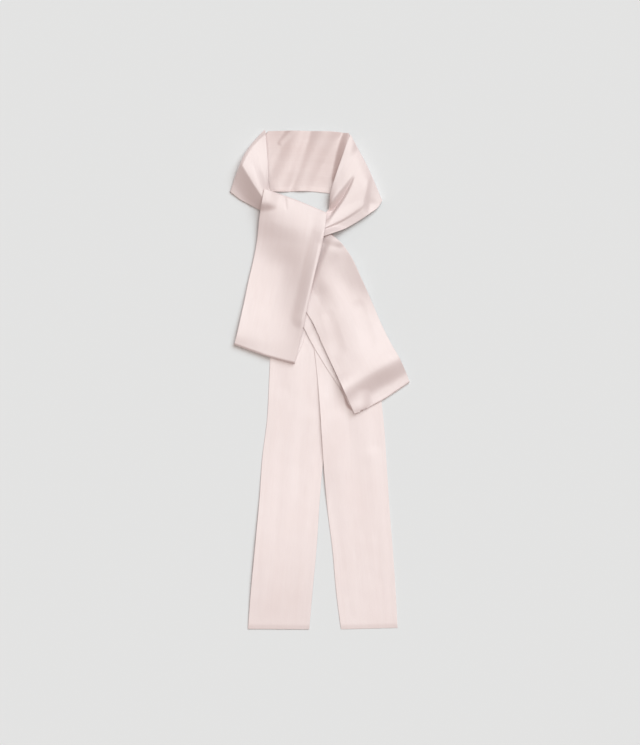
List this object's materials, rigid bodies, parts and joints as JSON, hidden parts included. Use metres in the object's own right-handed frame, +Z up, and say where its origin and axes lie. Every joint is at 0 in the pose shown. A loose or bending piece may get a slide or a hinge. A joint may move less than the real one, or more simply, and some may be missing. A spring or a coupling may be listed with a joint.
{
  "type": "long satin scarf",
  "caption": "Long satin scarf laid flat: a loop for the neck, a half knot, two hanging bow loops and two long tails.",
  "frame": {"origin": "on the surface that the scarf lies on, under the middle of its outline", "axes": "+Y from the ends of the tails towards the back of the neck loop, +X to the right as seen from above, +Z up from the surface"},
  "size_m": [0.2619, 0.7273, 0.0221],
  "materials": {
    "satin": "smooth satin, soft sheen, pale blush pink"
  },
  "bodies": {
    "root": {"knot": "satin", "neck_back": "satin", "neck_left": "satin", "neck_right": "satin", "loop_left": "satin", "loop_right": "satin", "tail_left": "satin", "tail_right": "satin"}
  },
  "joints": []
}
